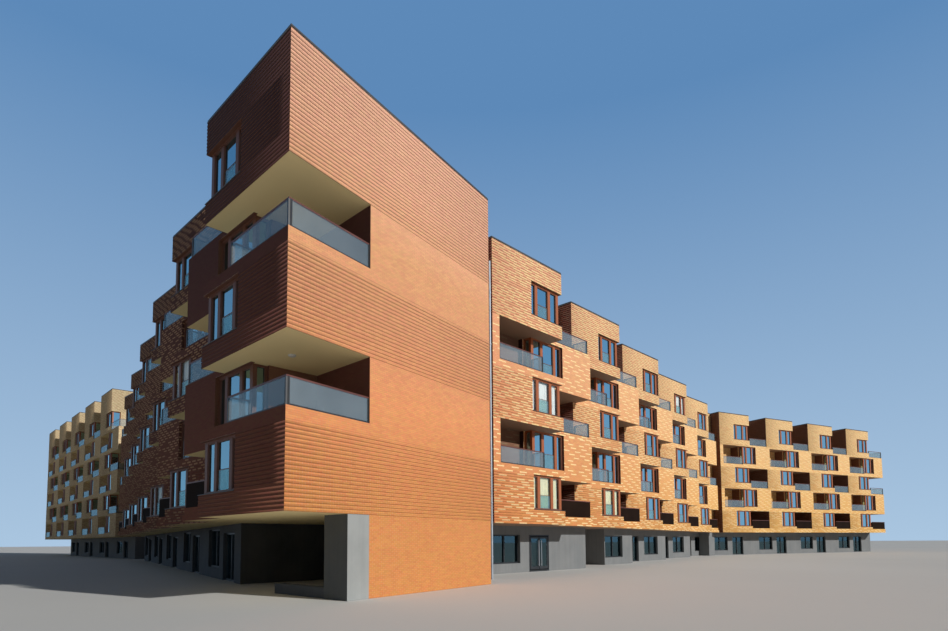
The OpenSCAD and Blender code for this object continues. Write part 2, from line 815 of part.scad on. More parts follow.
module entrance_leaf_left() { color("dimgray") left_pivot() leaf(); }
module entrance_leaf_right() { color("dimgray") right_pivot() leaf(); }
module pull_left() { color("silver") left_pivot() pull(); }
module pull_right() { color("silver") right_pivot() pull(); }

// Rainwater pipe in the gap between the gable and the right wing
module downpipe() {
    color("gray") site()
        translate([right_x - pipe_d / 2 - pin_gap, right_y + pipe_d, 0])
            cylinder(h = floor_z(main_levels) + wall_h, d = pipe_d, $fn = 32);
}

ground_floor();
left_ground_walls();
right_ground_walls();
far_ground_walls();
gable_base_wall();
grey_corner_pier();
plinth_ledge();
floor_1();
floor_2();
floor_3();
floor_4();
floor_5();
floor_6();
roof();
left_walls_1();
left_walls_2();
left_walls_3();
left_walls_4();
left_walls_5();
right_walls_1();
right_walls_2();
right_walls_3();
right_walls_4();
right_walls_5();
far_walls_1();
far_walls_2();
far_walls_3();
far_walls_4();
far_walls_5();
far_walls_6();
parapet_caps();
window_frames_left();
window_frames_right();
window_frames_far();
window_glass();
rail_glass();
rail_bars();
terrace_panels();
shop_frames();
shop_glass();
entrance_frame();
entrance_leaf_left();
entrance_leaf_right();
pull_left();
pull_right();
downpipe();
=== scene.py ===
import math

import bmesh
import bpy
import numpy as np
from mathutils import Matrix, Vector


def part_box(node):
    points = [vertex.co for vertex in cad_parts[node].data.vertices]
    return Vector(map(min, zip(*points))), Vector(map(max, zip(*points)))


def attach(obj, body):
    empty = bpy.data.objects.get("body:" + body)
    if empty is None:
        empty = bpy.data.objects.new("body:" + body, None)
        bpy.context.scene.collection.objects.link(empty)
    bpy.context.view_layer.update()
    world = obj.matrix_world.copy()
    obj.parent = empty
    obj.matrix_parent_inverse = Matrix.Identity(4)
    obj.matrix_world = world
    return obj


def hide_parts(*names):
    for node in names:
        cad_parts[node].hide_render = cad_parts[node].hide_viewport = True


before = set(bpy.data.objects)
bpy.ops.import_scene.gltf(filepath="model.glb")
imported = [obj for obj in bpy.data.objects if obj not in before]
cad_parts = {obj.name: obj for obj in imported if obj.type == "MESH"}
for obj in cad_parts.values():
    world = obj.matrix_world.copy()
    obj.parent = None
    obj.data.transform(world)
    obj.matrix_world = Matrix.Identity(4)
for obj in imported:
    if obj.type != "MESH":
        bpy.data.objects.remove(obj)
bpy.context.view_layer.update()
print("frame loaded:", len(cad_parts), "nodes")

scene = bpy.context.scene

# Sizes of the block that the added pieces need, in metres of the model
block = {
    "storey": 0.3, "base": 0.31, "plate": 0.025, "wallHigh": 0.275, "cap": 0.006,
    "boxSill": 0.062, "boxWindow": 0.318, "boxReturn": 0.12, "loggiaSill": 0.032, "loggiaReturn": 0.075,
    "frameWide": 0.009, "frameDeep": 0.008, "post": 0.024, "endShare": 0.155, "midShare": 0.34,
    "reveal": 0.024, "site": (0.3305, 0.12604), "skew": 0.18491,
}

# One row per wing: bays, spacing and setback of bays, widths of the boxes and of the loggia
common = {"step": 0.0, "over": 0.0, "set": 0.0, "loggia": 0.447, "levels": 5, "parapet": 0.118}
wings = {
    "left": {**common, "bays": 6, "pitch": 1.089, "step": 0.254, "wide": 0.677, "narrow": 0.326,
             "set": 0.093},
    "right": {**common, "bays": 5, "pitch": 1.111, "step": 0.220, "wide": 0.677, "narrow": 0.338,
              "over": 0.04, "set": 0.095, "loggia": 0.475},
    "far": {**common, "bays": 4, "pitch": 0.958, "wide": 0.600, "narrow": 0.240},
    "rear": {**common, "bays": 5, "pitch": 1.058, "wide": 0.631, "narrow": 0.335, "levels": 6,
             "parapet": 0.3},
}


def floorHeight(level):
    return block["base"] + block["plate"] + block["storey"] * (level - 1)


def isBoxLevel(wing, level):
    return (level + wings[wing]["levels"]) % 2 == 0


def place(wing, s, v, z=0.0):
    # point in space from a length along a wing, a depth into it and a height
    dx, dy = block["site"]
    if wing == "left":
        return Vector((v - dx, s - dy, z))
    if wing == "right":
        return Vector((1.527 + s - dx, 0.466 + v - dy, z))
    turn, px, py, s0 = {
        "far": (-18.7, 7.224, 1.428, 0.0),
        "rear": (-92.4, 1.579, 7.424, -5.29),
    }[wing]
    a = math.radians(turn)
    s += s0
    return Vector((px - dx + s * math.cos(a) - v * math.sin(a),
                   py - dy + s * math.sin(a) + v * math.cos(a), z))


def start(wing, bay):
    return wings[wing]["pitch"] * bay


def front(wing, bay):
    return wings[wing]["step"] * bay


def windowOf(wing, bay, level):
    # corner of a window, its plane, length and return, the way it runs, its foot and height
    row = wings[wing]
    z = floorHeight(level)
    if isBoxLevel(wing, level):
        return {"s": start(wing, bay) + row["wide"], "f": front(wing, bay), "long": block["boxWindow"],
                "deep": block["boxReturn"], "way": -1, "z": z + block["boxSill"],
                "high": block["wallHigh"] - block["boxSill"]}
    corner = start(wing, bay) + (0.44 if wing == "left" and bay == 0 else row["loggia"])
    last = start(wing, bay + 1) + row["over"] - row["narrow"]
    return {"s": corner, "f": front(wing, bay) + row["set"], "long": last - corner,
            "deep": block["loggiaReturn"], "way": 1, "z": z + block["loggiaSill"],
            "high": block["wallHigh"] - block["loggiaSill"]}


def lightsOf(window):
    # far and near edge of each of the three lights, measured from the window's corner
    length = window["long"]
    end = length - block["frameWide"]
    first = (end, end - length * block["endShare"])
    middle = (first[1] - block["post"], first[1] - block["post"] - length * block["midShare"])
    last = (middle[1] - block["post"], block["reveal"] - block["frameDeep"] + block["post"])
    return [first, middle, last]


curtain = {
    "drawn": [("right", 0, 3, "white"), ("right", 0, 1, "cream"), ("right", 1, 1, "cream"),
              ("left", 2, 1, "white"), ("left", 1, 3, "white"), ("right", 3, 5, "white")],
    "wave": 0.0032, "period": 0.017, "steps": 8, "rows": 7, "depth": 0.034, "gap": 0.010, "topGap": 0.003,
    "farGap": 0.004, "nearGap": 0.045, "spotRadius": 0.195,
}


def curtainSpot(wing, bay, level):
    # middle of a window's pane, and the radius that takes in the whole pane
    w = windowOf(wing, bay, level)
    return place(wing, w["s"] + w["way"] * w["long"] / 2, w["f"] + block["reveal"],
                 w["z"] + w["high"] / 2), curtain["spotRadius"]


# Nodes that take arithmetic, and short ways to make them

def operation(kind):
    return lambda self, other: self.math(kind, other)


class Value:
    # a node's output that takes plain arithmetic, where every step is one Math node
    def __init__(self, tree, socket):
        self.tree, self.socket = tree, socket

    def math(self, kind, *others, clamp=False):
        values = dict(enumerate((self, *others)))
        return outOf(addNode(self.tree, "ShaderNodeMath", values, operation=kind, use_clamp=clamp))

    def __rsub__(self, other):
        return self.math("MULTIPLY_ADD", -1.0, other)

    __add__ = operation("ADD")
    __sub__ = operation("SUBTRACT")
    __mul__ = operation("MULTIPLY")
    __truediv__ = operation("DIVIDE")
    __mod__ = operation("FLOORED_MODULO")
    __gt__ = operation("GREATER_THAN")
    __lt__ = operation("LESS_THAN")


def feed(socket, value):
    if isinstance(value, Value):
        value.tree.links.new(value.socket, socket)
    else:
        socket.default_value = value


def feedAll(node, values):
    for name, value in values.items():
        feed(node.inputs[name], value)


def addNode(tree, kind, values, **modes):
    # a node with its modes set, and its inputs fed by name or number
    node = tree.nodes.new(kind)
    for name, mode in modes.items():
        setattr(node, name, mode)
    feedAll(node, values)
    return node


def outOf(node, name=0):
    return Value(node.id_data, node.outputs[name])


def treeOf(*values):
    return next(value.tree for value in values if isinstance(value, Value))


def vectorMath(kind, *values):
    node = addNode(treeOf(*values), "ShaderNodeVectorMath", dict(enumerate(values)), operation=kind)
    return outOf(node, "Value" if kind in ("DOT_PRODUCT", "DISTANCE") else "Vector")


def blendColor(factor, first, second, kind="MIX"):
    first, second = (v if isinstance(v, Value) else (*v, 1) for v in (first, second))
    return outOf(addNode(treeOf(factor, first, second), "ShaderNodeMix", {0: factor, 6: first, 7: second},
                       data_type="RGBA", blend_type=kind), 2)


def between(factor, first, second):
    return factor * (second - first) + first


def noise(vector, scale, detail=3.0, rough=0.55):
    return outOf(addNode(vector.tree, "ShaderNodeTexNoise",
                       {"Vector": vector, "Scale": scale, "Detail": detail, "Roughness": rough}), "Fac")


def whiteNoise(x, y, z=0.0):
    join = addNode(x.tree, "ShaderNodeCombineXYZ", {0: x, 1: y, 2: z})
    return outOf(addNode(x.tree, "ShaderNodeTexWhiteNoise", {"Vector": outOf(join)}), "Value")


def ramp(value, low, high):
    # straight ramp from 0 at low to 1 at high
    return outOf(addNode(value.tree, "ShaderNodeMapRange",
                         {"Value": value, "From Min": low, "From Max": high}))


def stops(value, colors):
    # colour along a value, from pairs of a position and a colour
    node = addNode(value.tree, "ShaderNodeValToRGB", {"Fac": value})
    elements = node.color_ramp.elements
    while len(elements) < len(colors):
        elements.new(0.5)
    for element, (position, color) in zip(elements, colors):
        element.position = position
    for element, (position, color) in zip(elements, colors):
        element.color = (*color, 1)
    return outOf(node, "Color")


def splitVector(vector):
    node = addNode(vector.tree, "ShaderNodeSeparateXYZ", {0: vector})
    return [outOf(node, k) for k in range(3)]


def stretched(coords, across, up):
    return outOf(addNode(coords.tree, "ShaderNodeMapping", {"Vector": coords, "Scale": (across, across, up)}))


def tint(color, hue=0.5, value=1.0):
    color = color if isinstance(color, Value) else (*color, 1)
    return outOf(addNode(treeOf(color, value), "ShaderNodeHueSaturation",
                       {"Hue": hue, "Value": value, "Color": color}))


def geometryOf(tree, name):
    return outOf(tree.nodes.new("ShaderNodeNewGeometry"), name)


def newMaterial(name):
    material = bpy.data.materials.new(name)
    material.use_nodes = True
    tree = material.node_tree
    return material, tree, outOf(tree.nodes.new("ShaderNodeTexCoord"), "Object")


def newFinish(name, roughness, metallic=0.0, specular=0.5):
    material, tree, coords = newMaterial(name)
    shader = tree.nodes["Principled BSDF"]
    feedAll(shader, {"Roughness": roughness, "Metallic": metallic, "Specular IOR Level": specular})
    return material, shader, coords


def bumped(height, strength, distance):
    return outOf(addNode(height.tree, "ShaderNodeBump",
                         {"Strength": strength, "Distance": distance, "Height": height}))


# places on the block, in metres, where one brickwork ends and the next begins
region = {
    "rightFrom": 1.19, "rightSlope": 0.75, "rightOver": 0.8, "rightGrade": (1.2, 7.4), "cornerTo": 0.965,
    "rearFrom": 7.2, "leftGrade": (1.0, 6.6), "leftFacing": -0.6, "topBoxFrom": 1.81, "sunny": (0.6, 1.3),
    "loggiaDepth": (0.012, 0.23), "cornerLoggiaTo": 0.16, "cornerLoggiaFrom": 0.05,
}

brick = {
    "course": 0.0075, "length": 0.025, "rowShift": 0.0025, "bed": 0.08, "perpend": 0.022, "darkBedAndShadow": 0.17,
    "dash": 0.066, "longDash": 0.105, "dashFill": 0.66, "sparse": 0.13, "sparseFill": 0.5, "sparseRows": 3.0,
    "rowSlip": 0.37, "rowJitter": 0.3, "roughness": 0.86,
    "gable": [(0.00, (0.642, 0.265, 0.083)), (0.16, (0.65, 0.265, 0.088)), (0.24, (0.673, 0.264, 0.096)),
              (0.38, (0.763, 0.313, 0.132)), (0.53, (0.718, 0.326, 0.166)), (0.68, (0.741, 0.370, 0.185)),
              (0.84, (0.830, 0.439, 0.280)), (1.00, (0.830, 0.463, 0.315))],
    "right": [(0.16, (0.70, 0.265, 0.092)), (0.50, (0.763, 0.335, 0.160)), (0.90, (0.84, 0.425, 0.250))],
    "rightFar": [(0.16, (0.81, 0.45, 0.14)), (0.50, (0.90, 0.53, 0.21)), (0.90, (0.93, 0.60, 0.29))],
    "rear": (0.80, 0.65, 0.40),
    # painted shade: the left wing's brick is darkened for the shade it stands in, darkest towards the top;
    # leftFarShaded and leftAccentShaded are shaded copies too
    "left": [(0.16, (0.215, 0.079, 0.048)), (0.50, (0.143, 0.054, 0.041)), (0.95, (0.068, 0.029, 0.029))],
    "leftFarShaded": (0.40, 0.20, 0.10),
    "accent": (1.0, 0.74, 0.38), "leftAccentShaded": (0.50, 0.30, 0.18), "rearAccent": (0.62, 0.38, 0.20),
    # shade, under and loggiaShade are painted shade
    "shade": (0.17, 0.115, 0.16), "under": (0.03, 0.014, 0.012),
    "loggiaShade": (0.13, 0.07, 0.05), "darkJointAndShadow": (0.16, 0.065, 0.04), "paleJoint": (0.92, 0.66, 0.46),
}

plateColors = {
    "plaster": ((0.97, 0.76, 0.39), (0.99, 0.82, 0.44)), "rightPlaster": (0.34, 0.22, 0.15),
    "paving": ((0.42, 0.40, 0.36), (0.52, 0.49, 0.44)), "pavingGap": (0.16, 0.15, 0.14), "slab": 0.05,
}


def makeBrick(name, plateFinish=False):
    # brickwork laid by position: courses in z, bricks along each wall
    material, shader, coords = newFinish(name, brick["roughness"], specular=0.25)
    normal = geometryOf(coords.tree, "True Normal")
    along = vectorMath("NORMALIZE", vectorMath("CROSS_PRODUCT", (0.0, 0.0, 1.0), normal))
    u = vectorMath("DOT_PRODUCT", coords, along)
    x, y, z = splitVector(coords)
    nx, _, nz = splitVector(normal)

    rowPlace = (z - brick["rowShift"]) / brick["course"]
    row, rowPart = rowPlace.math("FLOOR"), rowPlace.math("FRACT")
    odd = row % 2.0
    brickPlace = odd * 0.5 + u / brick["length"]
    cell = brickPlace.math("FLOOR")
    bed = (rowPart - 0.5).math("ABSOLUTE") > 0.5 - brick["bed"]
    perpend = (brickPlace.math("FRACT") - 0.5).math("ABSOLUTE") > 0.5 - brick["perpend"]

    # regions of the block
    isRight = (x > region["rightFrom"]) * (x * region["rightSlope"] + region["rightOver"] > y)
    isCorner = (x < region["rightFrom"]) * (y < region["cornerTo"])
    facesLeft = nx < region["leftFacing"]
    isGable = isCorner * (1.0 - facesLeft)
    isRear = y > region["rearFrom"]
    rightGrade = ramp(x, *region["rightGrade"]).math("POWER", 0.8)
    leftGrade = ramp(y, *region["leftGrade"]) * 0.4
    height = z * 0.5

    # the left wing's colours used here are painted shade
    base = blendColor(leftGrade, stops(height, brick["left"]), brick["leftFarShaded"])
    rightBase = blendColor(rightGrade, stops(height, brick["right"]), stops(height, brick["rightFar"]))
    base = blendColor(isRight, base, rightBase)
    base = blendColor(isGable, base, stops(height, brick["gable"]))
    base = blendColor(isRear, base, brick["rear"])

    # accent bricks: dashes on every second course, and fewer between the right wing's wide boxes
    storey = ((z - block["base"]) / block["storey"]).math("FLOOR")
    boxed = (1.0 - storey % 2.0).math("MAXIMUM", z > region["topBoxFrom"])
    boxed = (boxed - isRear).math("ABSOLUTE")
    aboveBase = z > block["base"]
    slip, jitter = brick["rowSlip"], brick["rowJitter"]
    pair = (row * 0.5).math("FLOOR")
    dashLong = isRight * (brick["longDash"] - brick["dash"]) + brick["dash"]
    dashPlace = u / dashLong + pair * slip + whiteNoise(pair, 3.0) * jitter
    dashPick = whiteNoise(dashPlace.math("FLOOR"), pair, 7.0)
    dashShare = ramp(z, 0.3, 1.95) * 0.30 + 0.62
    dash = (dashPlace.math("FRACT") < brick["dashFill"]) * odd * (dashPick < dashShare)
    sparseRow = (row / brick["sparseRows"]).math("FLOOR")
    sparsePlace = u / brick["sparse"] + sparseRow * slip + whiteNoise(sparseRow, 9.0) * jitter
    sparsePick = whiteNoise(sparsePlace.math("FLOOR"), sparseRow, 2.0)
    sparse = (sparsePlace.math("FRACT") < brick["sparseFill"]) * (sparsePick < 0.85)
    sparse = sparse * (row % brick["sparseRows"] < 0.5)
    accent = between(isRight, dash, between(boxed, sparse, dash)) * aboveBase * (1.0 - isCorner)
    accentColor = blendColor(isRight, brick["leftAccentShaded"], brick["accent"])
    accentColor = blendColor(isRear, accentColor, brick["rearAccent"])
    color = blendColor(accent * 0.95, base, accentColor)

    # each brick its own tone, patches of weather over all of them
    grain = noise(coords, 420.0, 2.0)
    patches = noise(coords, 3.5, 4.0)
    value = (whiteNoise(cell, row, 1.0) * 0.11 + 0.945) * (patches * 0.12 + 0.94) * (grain * 0.16 + 0.92)
    color = tint(color, hue=whiteNoise(cell, row, 5.0) * 0.014 + 0.493, value=value)

    # painted shade: the loggias' inner walls are darkened, returns turned left on the right wing and all
    # undersides are darker
    right, origin = wings["right"], place("right", 0, 0)
    bayPlace = (x - origin.x) / right["pitch"]
    depth = y - (bayPlace.math("FLOOR") * right["step"] + origin.y)
    shallow, deep = region["loggiaDepth"]
    inside = (depth > shallow) * (depth < deep) * isRight * aboveBase * (1.0 - boxed)
    inside = inside * (bayPlace.math("FRACT") * right["pitch"] < right["loggia"] + 0.003)
    behindGable = (x + block["site"][0]) * -block["skew"] + (y + block["site"][1])
    cornerInside = (x < region["cornerLoggiaTo"]) * (behindGable > region["cornerLoggiaFrom"]) * isGable
    cornerInside = cornerInside * aboveBase * (1.0 - boxed)
    color = blendColor(inside.math("MAXIMUM", cornerInside) * 0.85, color, brick["loggiaShade"])
    color = blendColor(isRight * facesLeft, color, brick["shade"], "MULTIPLY")
    below = nz < -0.5
    color = blendColor(below * 0.75, color, brick["under"])

    # joints: dark beds, blended less dark on the sunlit wings as painted light; under each projecting course
    # a dark bed line, partly dark joint and partly painted shadow, stronger higher up; paler perpends low on
    # the gable
    darkBedAndShadow = (rowPart > 1 - brick["darkBedAndShadow"]) * (1.0 - odd) * boxed * aboveBase
    lit = isRight.math("MAXIMUM", isGable).math("MAXIMUM", isRear)
    jointTone = blendColor(0.55, color, brick["darkJointAndShadow"])
    endTone = blendColor(isGable * ramp(z, 1.0, 0.4) * 0.55, jointTone, brick["paleJoint"])
    color = blendColor(bed * (lit * -0.10 + 0.45), color, jointTone)
    color = blendColor(perpend * 0.75, color, endTone)
    bedShadowShare = ramp(z, 0.5, 1.2) * 0.65 + 0.30
    color = blendColor(darkBedAndShadow * bedShadowShare, color, blendColor(0.85, color, brick["darkJointAndShadow"]))
    joint = bed.math("MAXIMUM", perpend)

    if plateFinish:
        flat = nz.math("ABSOLUTE") > 0.5
        plaster = blendColor(noise(coords, 2.4), *plateColors["plaster"])
        plaster = blendColor(isRight, plaster, plateColors["rightPlaster"])
        gaps = [(axis / plateColors["slab"]).math("FRACT") < 0.05 for axis in (x, y)]
        paving = blendColor(noise(coords, 6.0), *plateColors["paving"])
        paving = blendColor(gaps[0].math("MAXIMUM", gaps[1]) * 0.6, paving, plateColors["pavingGap"])
        color = blendColor(flat, color, blendColor(below, paving, plaster))
        joint = joint * (1.0 - flat)
    feedAll(shader, {"Base Color": color, "Normal": bumped(grain * 0.25 - joint, 0.5, 0.0006)})
    return material


def makePlain(name, first, second, roughness, scale=8.0, metallic=0.0, bump=0.0004, specular=0.5,
              streaks=0.0, leftShade=0.0):
    # painted, cast or coated surface with soft blotches, fine grain and rain streaks
    material, shader, coords = newFinish(name, roughness, metallic, specular)
    soft = noise(coords, scale, 5.0)
    grain = noise(coords, 650.0, 2.0)
    value = grain * 0.16 + 0.92
    if streaks:
        streak = ramp(noise(stretched(coords, 40, 1.5), 1.0, 4.0), 0.45, 0.75)
        value = value * (streak * -streaks + 1.0)
    # painted shade: faces turned to the left are darker
    if leftShade:
        facesLeft = splitVector(geometryOf(coords.tree, "True Normal"))[0] < region["leftFacing"]
        value = value * (facesLeft * -leftShade + 1.0)
    feedAll(shader, {"Base Color": tint(blendColor(ramp(soft, 0.3, 0.7), first, second), value=value),
                     "Roughness": soft * 0.16 + (roughness - 0.08),
                     "Normal": bumped(grain * 0.5 + soft, 0.3, bump)})
    return material


def makeTimber(name, sunnyDark, sunnyPale):
    # stained timber with painted light: shaded colours on the left, sunlit and redder colours towards the
    # sunny right wing
    material, shader, coords = newFinish(name, 0.5, specular=0.4)
    grain = noise(stretched(coords, 60, 4), 6.0, 4.0)
    sunny = ramp(splitVector(coords)[0], *region["sunny"])
    shaded = blendColor(grain, (0.13, 0.052, 0.032), (0.21, 0.085, 0.05))
    sunlitTone = blendColor(grain, sunnyDark, sunnyPale)
    feedAll(shader, {"Base Color": blendColor(sunny, shaded, sunlitTone), "Normal": bumped(grain, 0.3, 0.0003)})
    return material


glass = {"gloss": (0.54, 0.88, 1.0, 1), "film": (0.62, 0.74, 0.82, 1), "untinted": (0.985, 0.99, 0.985),
         "drawnGloss": 0.2}


def makeGlass(name, color, clear, roughness=0.02, reflect=1.0, least=0.10, sunnyLeast=0.0, flat=0.5,
              dust=0.0, clearAt=()):
    # thin sheet: tinted see-through with sky gloss that grows at flat angles;
    # within the spheres of clearAt it is untinted, for the windows with drawn curtains
    material, tree, coords = newMaterial(name)
    tree.nodes.remove(tree.nodes["Principled BSDF"])
    haze = noise(coords, 5.0, 3.0)
    through = blendColor(haze, tuple(c * clear for c in color), color)
    weight = addNode(tree, "ShaderNodeLayerWeight", {"Blend": flat})
    share = outOf(weight, "Fresnel").math("MULTIPLY_ADD", reflect, least, clamp=True)
    if sunnyLeast:
        sunny = ramp(splitVector(coords)[0], *region["sunny"])
        share = sunny.math("MULTIPLY_ADD", sunnyLeast, share, clamp=True)
    if clearAt:
        drawn = 0.0
        for point, radius in clearAt:
            drawn = (vectorMath("DISTANCE", coords, tuple(point)) < radius).math("MAXIMUM", drawn)
        through = blendColor(drawn, through, glass["untinted"])
        share = share * (drawn * (glass["drawnGloss"] - 1) + 1.0)
    share = share * (1.0 - geometryOf(tree, "Backfacing"))
    wave = bumped(noise(coords, 9.0, 1.0), 0.04, 0.001)
    see = addNode(tree, "ShaderNodeBsdfTransparent", {"Color": through})
    gloss = addNode(tree, "ShaderNodeBsdfGlossy",
                    {"Roughness": roughness, "Color": glass["gloss"], "Normal": wave})
    surface = outOf(addNode(tree, "ShaderNodeMixShader", {0: share, 1: outOf(see), 2: outOf(gloss)}))
    if dust:
        film = addNode(tree, "ShaderNodeBsdfDiffuse", {"Color": glass["film"]})
        cover = haze * dust + dust * 0.5
        surface = outOf(addNode(tree, "ShaderNodeMixShader", {0: cover, 1: surface, 2: outOf(film)}))
    feed(tree.nodes["Material Output"].inputs["Surface"], surface)
    return material


def makeCloth(name, color):
    # woven curtain with fine threads both ways
    material, shader, coords = newFinish(name, 0.9, specular=0.1)
    x, y, z = splitVector(coords)
    threads = 5200.0
    weave = (z * threads).math("SINE") * ((x + y) * threads).math("SINE")
    value = weave * 0.04 + (noise(coords, 14.0, 3.0) * 0.2 + 0.88)
    feedAll(shader, {"Base Color": tint(color, value=value), "Normal": bumped(weave, 0.2, 0.0002)})
    return material


finishes = {
    "brick": makeBrick("laid_brick"),
    "plate": makeBrick("plate_brick_and_plaster", plateFinish=True),
    "render": makePlain("grey_render_paint", (0.175, 0.185, 0.19), (0.225, 0.23, 0.23), 0.8, 5.0,
                        streaks=0.12),
    # painted shade: the grey render darkened for the ground walls in shade
    "shadedRender": makePlain("render_paint_painted_shade", (0.06, 0.065, 0.07), (0.10, 0.105, 0.11), 0.8, 5.0,
                            streaks=0.12),
    "pier": makePlain("grey_pier_paint", (0.29, 0.305, 0.30), (0.35, 0.365, 0.36), 0.8, 7.0, streaks=0.1,
                      leftShade=0.68),
    "roof": makePlain("roof_felt", (0.20, 0.20, 0.20), (0.30, 0.30, 0.29), 0.9, 5.0),
    "paving": makePlain("shop_floor_paving", (0.16, 0.16, 0.155), (0.24, 0.235, 0.225), 0.7, 6.0),
    "capping": makePlain("dark_capping_metal", (0.045, 0.04, 0.038), (0.075, 0.07, 0.065), 0.5, 10.0),
    "timber": makeTimber("stained_timber_painted_light", (0.30, 0.075, 0.025), (0.46, 0.14, 0.045)),
    "darkTimber": makeTimber("dark_timber_sashes_and_painted_shade", (0.13, 0.045, 0.025), (0.22, 0.08, 0.04)),
    "pane": makeGlass("window_pane", (0.24, 0.30, 0.33), 0.7, reflect=1.0, least=0.36, sunnyLeast=0.22,
                      clearAt=[curtainSpot(*c[:3]) for c in curtain["drawn"]]),
    "shopPane": makeGlass("shop_pane", (0.34, 0.36, 0.33), 0.8, reflect=0.8, least=0.10, flat=0.35),
    "lowPane": makeGlass("low_glass_band", (0.82, 0.93, 0.90), 0.95, roughness=0.15, reflect=0.5, least=0.10,
                         flat=0.4, dust=0.10),
    "railPane": makeGlass("rail_pane", (0.86, 0.88, 0.87), 0.95, reflect=0.8, least=0.06, flat=0.33,
                          dust=0.13),
    "railPaint": makePlain("rail_red_brown_paint", (0.10, 0.028, 0.018), (0.16, 0.045, 0.03), 0.45, 20.0),
    "railDark": makePlain("rail_black_paint", (0.018, 0.017, 0.017), (0.035, 0.032, 0.03), 0.4, 20.0),
    "panel": makePlain("terrace_panel_paint", (0.011, 0.005, 0.003), (0.020, 0.010, 0.006), 0.75, 12.0,
                       specular=0.05),
    "aluminium": makePlain("dark_shop_aluminium", (0.035, 0.037, 0.04), (0.06, 0.062, 0.065), 0.42, 20.0,
                           0.6),
    "steel": makePlain("pull_steel", (0.62, 0.62, 0.62), (0.78, 0.78, 0.78), 0.32, 30.0, 1.0),
    "zinc": makePlain("pipe_zinc", (0.30, 0.34, 0.38), (0.42, 0.46, 0.50), 0.5, 20.0, 0.4),
    "lamp": makePlain("lamp_glass_white", (0.62, 0.60, 0.55), (0.72, 0.70, 0.66), 0.35, 30.0),
    "white": makeCloth("white_curtain", (0.97, 0.98, 0.95)),
    "cream": makeCloth("cream_curtain", (0.96, 0.90, 0.60)),
    "floor": makePlain("pale_floor_paint", (0.74, 0.73, 0.70), (0.78, 0.77, 0.74), 0.9, 0.4, bump=0.0),
}

# finish of each CAD node, by the first text here that its name holds
dressing = {
    "walls_": "brick", "gable_base_wall": "brick", "floor_": "plate", "left_ground_walls": "shadedRender",
    "ground_walls": "render", "grey_corner_pier": "pier", "window_frames": "timber",
    "window_glass": "pane", "shop_glass": "shopPane", "ground_floor": "paving", "roof": "roof",
    "parapet_caps": "capping", "plinth_ledge": "shadedRender", "rail_glass": "railPane",
    "rail_bars": "railPaint", "terrace_panels": "panel", "downpipe": "zinc", "pull_": "steel",
}


def dressNodes():
    for name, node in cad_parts.items():
        finish = finishes[next((key for part, key in dressing.items() if part in name), "aluminium")]
        for slot in node.material_slots:
            slot.material = finish
        if not node.material_slots:
            node.data.materials.append(finish)


dressNodes()
print("CAD nodes dressed")


# Making of pieces

def newObject(name, data):
    item = bpy.data.objects.new(name, data)
    scene.collection.objects.link(item)
    return item


def newPiece(name, mesh, finish, body="building"):
    piece = newObject(name, mesh)
    if not mesh.materials:
        mesh.materials.append(finishes[finish])
    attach(piece, body)
    return piece


def addPrism(shape, plan, z0, z1):
    # upright prism over a ring of plan points
    low = [shape.verts.new((p.x, p.y, z0)) for p in plan]
    high = [shape.verts.new((p.x, p.y, z1)) for p in plan]
    shape.faces.new(low[::-1])
    shape.faces.new(high)
    for k in range(len(plan)):
        n = (k + 1) % len(plan)
        shape.faces.new((low[k], low[n], high[n], high[k]))


def cornersOf(a0, a1, b0, b1):
    return (a0, b0), (a1, b0), (a1, b1), (a0, b1)


def addBlock(shape, x0, x1, y0, y1, z0, z1):
    addPrism(shape, [Vector((x, y, 0)) for x, y in cornersOf(x0, x1, y0, y1)], z0, z1)


def addBar(shape, wing, s0, s1, v0, v1, z0, z1):
    # block that stands along a wing
    s0, s1 = sorted((s0, s1))
    addPrism(shape, [place(wing, s, v) for s, v in cornersOf(s0, s1, v0, v1)], z0, z1)


def addRing(shape, wing, s0, s1, v0, v1, z0, z1, rim):
    # rectangular frame of one rim width, standing along a wing
    s0, s1 = sorted((s0, s1))
    addBar(shape, wing, s0, s0 + rim, v0, v1, z0, z1)
    addBar(shape, wing, s1 - rim, s1, v0, v1, z0, z1)
    addBar(shape, wing, s0 + rim, s1 - rim, v0, v1, z0, z0 + rim)
    addBar(shape, wing, s0 + rim, s1 - rim, v0, v1, z1 - rim, z1)


def addTurned(shape, center, outline, sides, closed=False):
    # body turned around an upright axis, from pairs of a radius and a height; gives its rings
    x, y, z0 = center
    turns = [k * 2 * math.pi / sides for k in range(sides)]
    rings = [[shape.verts.new((x + r * math.cos(a), y + r * math.sin(a), z0 + z)) for a in turns]
             for r, z in outline]
    for a, b in zip(rings, rings[1:] + rings[:1] if closed else rings[1:]):
        for k in range(sides):
            n = (k + 1) % sides
            shape.faces.new((a[k], a[n], b[n], b[k]))
    return rings


def finishShape(shape, name):
    bmesh.ops.recalc_face_normals(shape, faces=shape.faces)
    mesh = bpy.data.meshes.new(name)
    shape.to_mesh(mesh)
    shape.free()
    return mesh


def shapePiece(name, shape, finish, body="building"):
    return newPiece(name, finishShape(shape, name), finish, body)


def openShape(mesh):
    # a mesh opened for editing, with its doubled points merged
    shape = bmesh.new()
    shape.from_mesh(mesh)
    bmesh.ops.remove_doubles(shape, verts=shape.verts, dist=1e-6)
    return shape


def newTree(name, inputs):
    # geometry tree with named inputs, and its input node
    tree = bpy.data.node_groups.new(name, "GeometryNodeTree")
    for label, kind in {"Geometry": "Geometry", **inputs}.items():
        tree.interface.new_socket(label, in_out="INPUT", socket_type="NodeSocket" + kind)
    tree.interface.new_socket("Geometry", in_out="OUTPUT", socket_type="NodeSocketGeometry")
    return tree, tree.nodes.new("NodeGroupInput")


